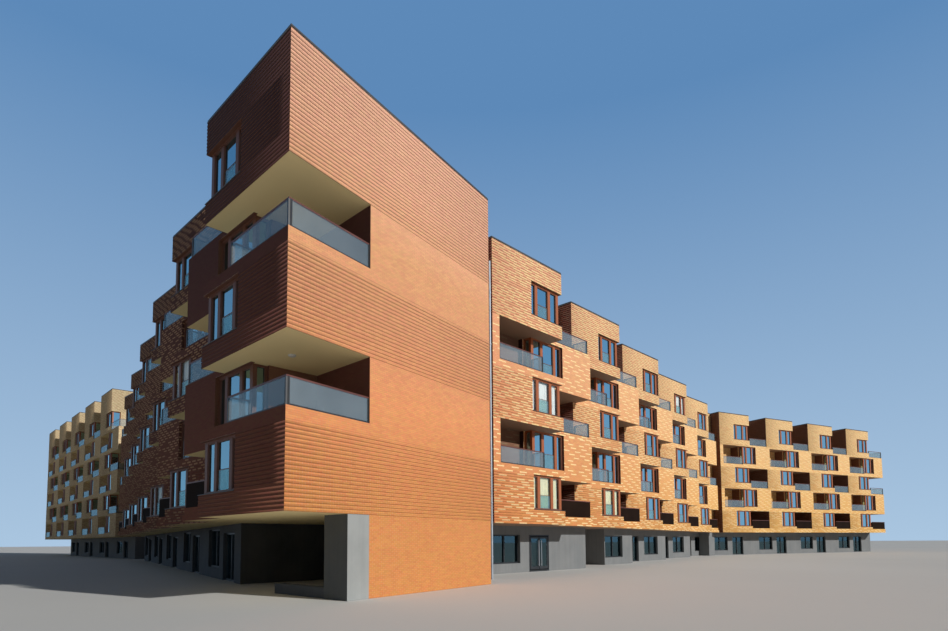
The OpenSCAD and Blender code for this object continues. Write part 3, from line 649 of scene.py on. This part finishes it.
def finishTree(tree, entry, geometry):
    realize = addNode(tree, "GeometryNodeRealizeInstances", {0: geometry})
    paint = addNode(tree, "GeometryNodeSetMaterial",
                    {"Geometry": outOf(realize), "Material": outOf(entry, "Material")})
    addNode(tree, "NodeGroupOutput", {0: outOf(paint)})
    return tree


def makeSweepTree():
    # sweeps an upright rectangle along every chain of edges
    tree, entry = newTree("sweep_along_paths", {"Width": "Float", "Height": "Float", "Material": "Material"})
    curve = addNode(tree, "GeometryNodeMeshToCurve", {"Mesh": outOf(entry, "Geometry")})
    upright = addNode(tree, "GeometryNodeSetCurveNormal", {"Curve": outOf(curve)}, mode="Z_UP")
    profile = addNode(tree, "GeometryNodeCurvePrimitiveQuadrilateral",
                      {"Width": outOf(entry, "Width"), "Height": outOf(entry, "Height")})
    sweep = addNode(tree, "GeometryNodeCurveToMesh",
                    {"Curve": outOf(upright), "Profile Curve": outOf(profile), "Fill Caps": True})
    return finishTree(tree, entry, outOf(sweep))


def makeScatterTree():
    # sets a copy of a shape on every point, turned by the point's own angle
    tree, entry = newTree("shape_on_points", {"Shape": "Object", "Material": "Material"})
    shape = addNode(tree, "GeometryNodeObjectInfo", {"Object": outOf(entry, "Shape")})
    angle = addNode(tree, "GeometryNodeInputNamedAttribute", {"Name": "turn"}, data_type="FLOAT")
    join = addNode(tree, "ShaderNodeCombineXYZ", {"Z": outOf(angle, "Attribute")})
    turn = addNode(tree, "FunctionNodeEulerToRotation", {0: outOf(join)})
    points = addNode(tree, "GeometryNodeMeshToPoints", {"Mesh": outOf(entry, "Geometry")})
    copies = addNode(tree, "GeometryNodeInstanceOnPoints",
                     {"Points": outOf(points), "Instance": outOf(shape, "Geometry"), "Rotation": outOf(turn)})
    return finishTree(tree, entry, outOf(copies))


def runTree(name, mesh, tree, values):
    # evaluates the tree on a mesh and gives the result as a plain mesh
    carrier = newObject(name + "_source", mesh)
    modifier = carrier.modifiers.new("tree", "NODES")
    modifier.node_group = tree
    for item in tree.interface.items_tree:
        if item.in_out == "INPUT" and item.name in values:
            modifier[item.identifier] = values[item.name]
    graph = bpy.context.evaluated_depsgraph_get()
    result = bpy.data.meshes.new_from_object(carrier.evaluated_get(graph))
    carrier.modifiers.clear()
    bpy.data.objects.remove(carrier)
    result.name = name
    return result


def outward(mesh):
    # turns every closed shell's faces to the outside
    shape = openShape(mesh)
    bmesh.ops.recalc_face_normals(shape, faces=shape.faces)
    shape.to_mesh(mesh)
    shape.free()


sweepTree = makeSweepTree()
scatterTree = makeScatterTree()


def sweepPaths(name, paths, width, height, finish):
    # paths are chains of points; a chain whose ends meet is closed
    points, edges = [], []
    for chain in paths:
        first = len(points)
        closed = len(chain) > 2 and (chain[0] - chain[-1]).length < 1e-5
        chain = chain[:-1] if closed else chain
        points += [tuple(p) for p in chain]
        edges += [(first + k, first + k + 1) for k in range(len(chain) - 1)]
        if closed:
            edges.append((first + len(chain) - 1, first))
    mesh = bpy.data.meshes.new(name + "_paths")
    mesh.from_pydata(points, edges, [])
    result = runTree(name, mesh, sweepTree, {"Width": width, "Height": height, "Material": finishes[finish]})
    outward(result)
    return newPiece(name, result, finish)


def scatter(name, spots, shapeMesh, finish):
    # spots are pairs of a point and an angle
    mesh = bpy.data.meshes.new(name + "_points")
    mesh.from_pydata([tuple(p) for p, a in spots], [], [])
    angles = mesh.attributes.new("turn", "FLOAT", "POINT")
    for index, (p, a) in enumerate(spots):
        angles.data[index].value = a
    shape = newObject(name + "_shape", shapeMesh)
    result = runTree(name, mesh, scatterTree, {"Shape": shape, "Material": finishes[finish]})
    bpy.data.objects.remove(shape)
    for layer in [a for a in result.attributes if a.name == "turn"]:
        result.attributes.remove(layer)
    return newPiece(name, result, finish)


# Relief courses of the brickwork

relief = {
    "proud": 0.0015, "look": 0.045, "pair": 0.015, "tolerance": 0.0004, "cell": 0.002, "rearFrom": 7.0,
    "dripWide": 0.0044, "dripHigh": 0.005, "dripUnder": 0.0035,
}


def trianglesOf(name):
    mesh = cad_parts[name].data
    mesh.calc_loop_triangles()
    places = np.empty(len(mesh.vertices) * 3)
    mesh.vertices.foreach_get("co", places)
    corners = np.empty(len(mesh.loop_triangles) * 3, dtype=np.int64)
    mesh.loop_triangles.foreach_get("vertices", corners)
    triangles = places.reshape(-1, 3)[corners].reshape(-1, 3, 3)
    normals = np.cross(triangles[:, 1] - triangles[:, 0], triangles[:, 2] - triangles[:, 0])
    size = np.linalg.norm(normals, axis=1)
    keep = size > 1e-12
    normals = normals[keep] / size[keep][:, None]
    upright = np.abs(normals[:, 2]) < 0.2
    return triangles[keep][upright], normals[upright]


def sliceAt(walls, z):
    # plan lines where a wall's faces cross a height, joined along each plane, with the outside on
    # their right: direction, distance, from and to
    triangles, normals = walls
    hit = (triangles[:, :, 2].min(axis=1) < z) & (triangles[:, :, 2].max(axis=1) > z)
    planes = {}
    for triangle, normal in zip(triangles[hit], normals[hit]):
        ends = []
        for k in range(3):
            a, b = triangle[k], triangle[(k + 1) % 3]
            if (a[2] - z) * (b[2] - z) < 0:
                ends.append(a + (b - a) * (a[2] - z) / (a[2] - b[2]))
        if len(ends) != 2:
            continue
        way = np.array([-normal[1], normal[0]]) / math.hypot(normal[0], normal[1])
        side = np.array([way[1], -way[0]])
        spots = sorted(float(np.dot(way, e[:2])) for e in ends)
        distance = float(np.dot(side, ends[0][:2]))
        key = (round(math.atan2(way[1], way[0]), 3), round(distance, 3))
        planes.setdefault(key, [way, distance, []])[2].append(spots)
    lines = []
    for way, distance, spans in planes.values():
        joined = []
        for a, b in sorted(spans):
            if joined and a < joined[-1][1] + 2e-4:
                joined[-1][1] = max(joined[-1][1], b)
            else:
                joined.append([a, b])
        lines += [(way, distance, a, b) for a, b in joined if b - a > 1e-3]
    return lines


def endsOf(line):
    way, distance, a, b = line
    side = np.array([way[1], -way[0]])
    return way * a + side * distance, way * b + side * distance


def chainLines(lines):
    # joins lines end to start, into pairs of a chain of lines and whether it closes
    starts = {}
    for index, line in enumerate(lines):
        p = endsOf(line)[0]
        starts.setdefault((round(p[0] / relief["cell"]), round(p[1] / relief["cell"])), []).append(index)

    def follower(line):
        q = endsOf(line)[1]
        cx, cy = round(q[0] / relief["cell"]), round(q[1] / relief["cell"])
        for ix in (cx, cx - 1, cx + 1):
            for iy in (cy, cy - 1, cy + 1):
                for index in starts.get((ix, iy), []):
                    if np.linalg.norm(endsOf(lines[index])[0] - q) < relief["tolerance"] * 2:
                        return index
        return None

    after = {index: follower(line) for index, line in enumerate(lines)}
    hasBefore = {n for n in after.values() if n is not None}
    chains, used = [], set()
    for index in [k for k in after if k not in hasBefore] + list(after):
        chain = []
        while index is not None and index not in used:
            used.add(index)
            chain.append(index)
            index = after[index]
        if chain:
            chains.append((chain, index == chain[0]))
    return chains


def outsideLines(walls, z):
    # the lines of the outer loops only, told from the rooms' loops by the way they turn
    lines = sliceAt(walls, z)
    outside = []
    for chain, closed in chainLines(lines):
        corners = [endsOf(lines[k])[0] for k in chain]
        area = sum(a[0] * b[1] - b[0] * a[1] for a, b in zip(corners, corners[1:] + corners[:1]))
        if closed and area > 0:
            outside += [lines[k] for k in chain]
    return outside


def clipLines(lines, outside):
    kept = []
    for way, distance, a, b in lines:
        for oWay, oDistance, oa, ob in outside:
            if abs(distance - oDistance) < relief["tolerance"] and np.dot(way, oWay) > 0.99999:
                low, high = max(a, oa), min(b, ob)
                if high - low > 2e-3:
                    kept.append((way, distance, low, high))
    return kept


def pathsFrom(lines, z):
    paths = []
    for chain, _ in chainLines(lines):
        corners = [endsOf(lines[k])[0] for k in chain] + [endsOf(lines[chain[-1]])[1]]
        paths.append([Vector((*p, z)) for p in corners])
    return paths


def makeCourses():
    tops = []
    for group, wing in (("left", "left"), ("right", "right"), ("far", "far"), ("far", "rear")):
        row = wings[wing]
        for level in range(1, row["levels"] + 1):
            if not isBoxLevel(wing, level):
                continue
            walls = trianglesOf(f"{group}_walls_{level}")
            plate = trianglesOf(f"floor_{level}")
            outside = outsideLines(walls, floorHeight(level) + relief["look"])
            outside = [line for line in outside
                       if (sum(e[1] for e in endsOf(line)) / 2 > relief["rearFrom"]) == (wing == "rear")]
            low = floorHeight(level) - block["plate"]
            high = low + block["storey"]
            if level == row["levels"]:
                high += block["plate"] + row["parapet"] - block["cap"]
                tops += pathsFrom(outside, high + block["cap"] - relief["dripUnder"])
            paths = []
            z = low + brick["course"] / 2
            while z + brick["course"] / 2 <= high + 1e-6:
                cut = plate if z < floorHeight(level) else walls
                paths += pathsFrom(clipLines(sliceAt(cut, z + 1e-5), outside), z)
                z += relief["pair"]
            piece = sweepPaths(f"{wing}_courses_{level}", paths, relief["proud"] * 2, brick["course"],
                               "brick")
            print("courses", wing, level, len(paths), "runs", len(piece.data.polygons), "faces")
    sweepPaths("capping_drip", tops, relief["dripWide"], relief["dripHigh"], "capping")


makeCourses()
print("relief courses laid")


# Windows: sashes, low glass bands, strips of painted shade, sill flashings and curtains

sash = {
    "rim": 0.0035, "front": 0.0015, "back": 0.0003, "band": 0.42, "bandBack": 0.0025, "bandFront": 0.0005,
    # cover, headShadow and headShadowIn size the strips of painted shade
    "bar": 0.0025, "barDeep": 0.003, "cover": 0.001, "headShadow": 0.0012, "headShadowIn": 0.0002,
    "sillWide": 0.008, "sillHigh": 0.0024,
}


def makeWindows():
    sashes, bands, shadeStrips = bmesh.new(), bmesh.new(), bmesh.new()
    sills = []
    spots = [(wing, level, windowOf(wing, bay, level)) for wing, row in wings.items()
             for level in range(1, row["levels"] + 1) for bay in range(row["bays"])]
    for wing, level, w in spots:
        f, way, rim, wide = w["f"], w["way"], sash["rim"], block["frameWide"]
        inner = f + block["reveal"] - block["frameDeep"]
        face, back = inner + sash["front"], f + block["reveal"] - sash["back"]
        low, high = w["z"], w["z"] + w["high"]
        z0, z1 = low + wide, high - wide
        for index, (a, b) in enumerate(lightsOf(w)):
            sa, sb = sorted((w["s"] + way * a, w["s"] + way * b))
            addRing(sashes, wing, sa, sb, face, back, z0, z1, rim)
            if index == 1 and wing in ("left", "right"):
                top = z0 + (z1 - z0) * sash["band"]
                addBar(bands, wing, sa + rim, sb - rim, back - sash["bandBack"], back - sash["bandFront"],
                       z0 + rim, top)
                addBar(sashes, wing, sa + rim, sb - rim, back - sash["barDeep"], back, top,
                       top + sash["bar"])
        # dark strips of painted shade on the frame's far jamb and foot; on the left wing at its head too, and
        # a painted shadow under the head
        last = w["s"] + way * w["long"]
        edge = last - way * wide
        corner = w["s"] + way * (inner - f)
        addBar(shadeStrips, wing, last, edge, inner - sash["cover"], inner, low, high)
        for foot in (low, z1) if wing == "left" else (low,):
            addBar(shadeStrips, wing, edge, corner, inner - sash["cover"], inner, foot, foot + wide)
        if wing == "left":
            addBar(shadeStrips, wing, last, w["s"], f + sash["headShadowIn"], inner, high - sash["headShadow"], high)
        sills.append([place(wing, s, v, low + sash["sillHigh"] / 2)
                      for s, v in ((last, f), (w["s"], f), (w["s"], f + w["deep"]))])
    shapePiece("window_sashes", sashes, "darkTimber")
    # the strips of painted shade take the dark timber finish
    shapePiece("frame_covers", shadeStrips, "darkTimber")
    shapePiece("low_glass_bands", bands, "lowPane")
    sweepPaths("sill_flashings", sills, sash["sillWide"], sash["sillHigh"], "capping")


def makeCurtains():
    for wing, bay, level, finish in curtain["drawn"]:
        w = windowOf(wing, bay, level)
        s0 = w["s"] + w["way"] * (w["long"] - curtain["farGap"])
        s1 = w["s"] + w["way"] * curtain["nearGap"]
        z0, z1 = w["z"] + curtain["gap"], w["z"] + w["high"] - curtain["topGap"]
        depth = w["f"] + curtain["depth"]
        folds = abs(s1 - s0) / curtain["period"]
        count, rows = int(folds * curtain["steps"]), curtain["rows"]
        shape = bmesh.new()
        grid = []
        for r in range(rows):
            t = r / (rows - 1)
            line = []
            for k in range(count + 1):
                part = k / count
                phase = part * folds * 2 * math.pi
                swing = curtain["wave"] * (0.75 + 0.35 * math.sin(phase * 0.23 + bay)) * (0.7 + 0.3 * (1 - t))
                spot = place(wing, s0 + (s1 - s0) * part,
                             depth + swing * math.sin(phase + 0.3 * math.sin(t * 3)), z0 + (z1 - z0) * t)
                line.append(shape.verts.new(spot))
            grid.append(line)
        for a, b in zip(grid, grid[1:]):
            for k in range(count):
                shape.faces.new((a[k], a[k + 1], b[k + 1], b[k]))
        area = sum(face.calc_area() for face in shape.faces)
        mesh = finishShape(shape, "curtain")
        for face in mesh.polygons:
            face.use_smooth = True
        piece = newPiece(f"curtain_{wing}_{bay}_{level}", mesh, finish)
        area / (z1 - z0)
        z1 - z0


makeWindows()
makeCurtains()
print("windows fitted")


# Courtyard windows, from their own panes

def looseBoxes(name):
    # every separate upright sheet of a node: its middle, its direction, length, foot and top
    shape = openShape(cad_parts[name].data)
    boxes, done = [], set()
    for first in shape.verts:
        if first in done:
            continue
        part = [first]
        done.add(first)
        for vert in part:
            others = [edge.other_vert(vert) for edge in vert.link_edges]
            part += [other for other in others if other not in done]
            done.update(others)
        borders = [e for v in part for e in v.link_edges
                   if abs(e.verts[0].co.z - e.verts[1].co.z) < 1e-6
                   and e.link_faces[0].normal.dot(e.link_faces[1].normal) < 0.999]
        longest = max(borders, key=lambda e: e.calc_length())
        way = (longest.verts[1].co - longest.verts[0].co).normalized()
        side = Vector((way.y, -way.x, 0))
        alongs = [v.co.dot(way) for v in part]
        acrosses = [v.co.dot(side) for v in part]
        heights = [v.co.z for v in part]
        middle = way * (min(alongs) + max(alongs)) / 2 + side * (min(acrosses) + max(acrosses)) / 2
        boxes.append({"middle": middle, "way": way, "side": side, "long": max(alongs) - min(alongs),
                      "z0": min(heights), "z1": max(heights)})
    shape.free()
    return boxes


yard = {"long": 0.18, "high": 0.15, "tolerance": 0.004, "rim": 0.009, "deep": 0.012, "post": 0.007,
        "sillDeep": 0.024, "sillHigh": 0.002}


def makeYardWindows():
    panes = [b for b in looseBoxes("window_glass")
             if abs(b["z1"] - b["z0"] - yard["high"]) < yard["tolerance"]
             and abs(b["long"] - yard["long"]) < yard["tolerance"]]
    shape = bmesh.new()
    half, high, rim, post = yard["long"] / 2, yard["high"], yard["rim"], yard["post"] / 2
    deep = yard["deep"]
    bars = [(-half, -half + rim, 0, high, deep), (half - rim, half, 0, high, deep),
            (-half + rim, half - rim, 0, rim, deep), (-half + rim, half - rim, high - rim, high, deep),
            (-post, post, rim, high - rim, deep), (-half, half, -yard["sillHigh"], 0, yard["sillDeep"])]
    for x0, x1, z0, z1, y in bars:
        addBlock(shape, x0, x1, -y / 2, y / 2, z0, z1)
    frameMesh = finishShape(shape, "yard_window_frame")
    spots = [(Vector((b["middle"].x, b["middle"].y, b["z0"])), math.atan2(b["way"].y, b["way"].x))
             for b in panes]
    scatter("yard_window_frames", spots, frameMesh, "timber")
    print("courtyard windows:", len(spots))


makeYardWindows()


# Rails: feet and posts

rail = {"foot": 0.006, "footWide": 0.010, "post": 0.0075, "postDeep": 0.009, "postOver": 0.001, "short": 0.06}


def makeRails():
    feet, posts = bmesh.new(), bmesh.new()
    for b in looseBoxes("rail_glass"):
        half = b["long"] / 2

        def plank(shape, a0, a1, deep, low, high):
            addPrism(shape, [b["middle"] + b["way"] * a + b["side"] * c
                             for a, c in cornersOf(a0, a1, -deep / 2, deep / 2)], low, high)
        top = b["z0"] + rail["foot"]
        plank(feet, -half, half, rail["footWide"], b["z0"], top)
        if b["long"] > rail["short"]:
            for a in (-half, half - rail["post"]):
                plank(posts, a, a + rail["post"], rail["postDeep"], top, b["z1"] + rail["postOver"])
    shapePiece("rail_feet", feet, "railDark")
    shapePiece("rail_posts", posts, "railDark")


makeRails()
print("rails finished")


# Rainwater pipe brackets, and the lamp over the corner loggia

pipe = {"first": 0.12, "spacing": 0.3, "collar": 0.0016, "high": 0.008, "sides": 28, "lugLong": 0.003,
        "lugWide": 0.004, "lugIn": 0.001}


def makePipeBrackets():
    low, high = (Vector(c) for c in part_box("downpipe"))
    middle = (low + high) / 2
    radius = (high.x - low.x) / 2
    wide = radius + pipe["collar"]
    shape = bmesh.new()
    outline = ((radius, 0), (wide, 0), (wide, pipe["high"]), (radius, pipe["high"]))
    addTurned(shape, (0, 0, 0), outline, pipe["sides"], closed=True)
    addBlock(shape, radius, radius + pipe["lugLong"], -pipe["lugWide"] / 2, pipe["lugWide"] / 2,
             pipe["lugIn"], pipe["high"] - pipe["lugIn"])
    collar = finishShape(shape, "pipe_collar")
    count = int((high.z - pipe["first"]) / pipe["spacing"]) + 1
    scatter("pipe_brackets", [(Vector((middle.x, middle.y, pipe["first"] + k * pipe["spacing"])), 0.0)
                              for k in range(count)], collar, "zinc")


lamp = {"place": (-0.166, 0.131), "radius": 0.0155, "high": 0.0054, "side": 0.0025, "rim": 0.0032,
        "sides": 32}


def makeLamp():
    # shallow dome in a flat ring under the plate over the second floor's corner loggia
    shape = bmesh.new()
    radius = lamp["radius"]
    outline = [(radius, 0.0), (radius, -lamp["side"]), (radius * 0.93, -lamp["rim"])]
    outline += [(radius * 0.9 * math.cos(a), -lamp["rim"] - lamp["high"] * math.sin(a))
                for a in (0.0, 0.35, 0.7, 1.05, 1.4)]
    center = (*lamp["place"], block["base"] + 2 * block["storey"])
    rings = addTurned(shape, center, outline, lamp["sides"])
    shape.faces.new(rings[0])
    shape.faces.new(rings[-1][::-1])
    shapePiece("loggia_lamp", shape, "lamp")


makePipeBrackets()
makeLamp()
print("pipe brackets and lamp made")


# Entrance leaves: stiles and rails round a sheet of glass

leaf = {"stile": 0.012, "foot": 0.020, "gap": 0.0047, "glassThick": 0.003, "bevel": 0.0006}


def makeLeaf(node, body):
    low, high = (Vector(c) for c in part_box(node))
    stile = leaf["stile"]
    z0, z1 = low.z + leaf["gap"], high.z - leaf["gap"]
    x0, x1, foot, top = low.x + stile, high.x - stile, z0 + leaf["foot"], z1 - stile
    shape = bmesh.new()
    for bar in ((low.x, x0, z0, z1), (x1, high.x, z0, z1), (x0, x1, z0, foot), (x0, x1, top, z1)):
        addBlock(shape, *bar[:2], low.y, high.y, *bar[2:])
    piece = shapePiece(node + "_frame", shape, "aluminium", body)
    bevel = piece.modifiers.new("edges", "BEVEL")
    bevel.width = leaf["bevel"]
    bevel.segments = 2
    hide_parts(node)
    pane = bmesh.new()
    middle = (low.y + high.y) / 2
    addBlock(pane, x0, x1, middle - leaf["glassThick"] / 2, middle + leaf["glassThick"] / 2, foot, top)
    shapePiece(node + "_pane", pane, "shopPane", body)


makeLeaf("entrance_leaf_left", "door_left")
makeLeaf("entrance_leaf_right", "door_right")
print("entrance leaves made")


# Camera, light and floor

view = {
    "place": (-1.296, -1.886, 0.207), "yaw": 43.82, "pitch": 3.994, "roll": -0.398,
    "lens": 22.852, "shiftX": 0.00146, "shiftY": 0.19437,
}


def makeCamera():
    camera = newObject("camera", bpy.data.cameras.new("camera"))
    data = camera.data
    data.sensor_width = 36
    data.lens = view["lens"]
    data.shift_x, data.shift_y = view["shiftX"], view["shiftY"]
    data.clip_start, data.clip_end = 0.01, 300
    camera.matrix_world = Matrix.Translation(view["place"])
    for degrees, axis in ((view["yaw"] - 90, "Z"), (view["pitch"] + 90, "X"), (view["roll"], "Z")):
        camera.matrix_world @= Matrix.Rotation(math.radians(degrees), 4, axis)
    scene.camera = camera


light = {
    "toSun": (0.177, -0.91, 0.375), "sun": 3.0, "softness": 1.2, "sunColor": (1.0, 0.985, 0.955),
    "sky": (0.84, 0.92, 1.06), "skyStrength": 0.07,
    "shownLow": (0.40, 0.56, 0.74), "shownHigh": (0.11, 0.25, 0.48),
}


def makeLight():
    sun = newObject("sun", bpy.data.lights.new("sun", "SUN"))
    sun.data.energy = light["sun"]
    sun.data.angle = math.radians(light["softness"])
    sun.data.color = light["sunColor"]
    sun.rotation_euler = Vector(light["toSun"]).to_track_quat("Z", "Y").to_euler()
    world = bpy.data.worlds.new("world")
    scene.world = world
    world.use_nodes = True
    tree = world.node_tree
    background = tree.nodes["Background"]
    feedAll(background, {"Color": (*light["sky"], 1), "Strength": light["skyStrength"]})
    # the sky that shows is paler towards the horizon
    height = ramp(splitVector(outOf(tree.nodes.new("ShaderNodeTexCoord"), "Generated"))[2], 0.0, 0.6)
    shown = addNode(tree, "ShaderNodeBackground",
                    {"Color": blendColor(height, light["shownLow"], light["shownHigh"])})
    path = tree.nodes.new("ShaderNodeLightPath")
    seen = outOf(path, "Is Camera Ray") + outOf(path, "Is Glossy Ray")
    seen = seen.math("ADD", outOf(path, "Is Transmission Ray"), clamp=True)
    mix = addNode(tree, "ShaderNodeMixShader", {0: seen, 1: outOf(background), 2: outOf(shown)})
    feed(tree.nodes["World Output"].inputs["Surface"], outOf(mix))
    scene.view_settings.view_transform = "Standard"


ground = {"reach": (-60, 80), "under": 0.0005}


def makeGround():
    mesh = bpy.data.meshes.new("pale_floor")
    near, far = ground["reach"]
    mesh.from_pydata([(x, y, -ground["under"]) for x, y in cornersOf(near, far, near, far)], [],
                     [(0, 1, 2, 3)])
    floor = newObject("pale_floor", mesh)
    mesh.materials.append(finishes["floor"])


makeCamera()
makeLight()
makeGround()
print("camera, light and floor made")
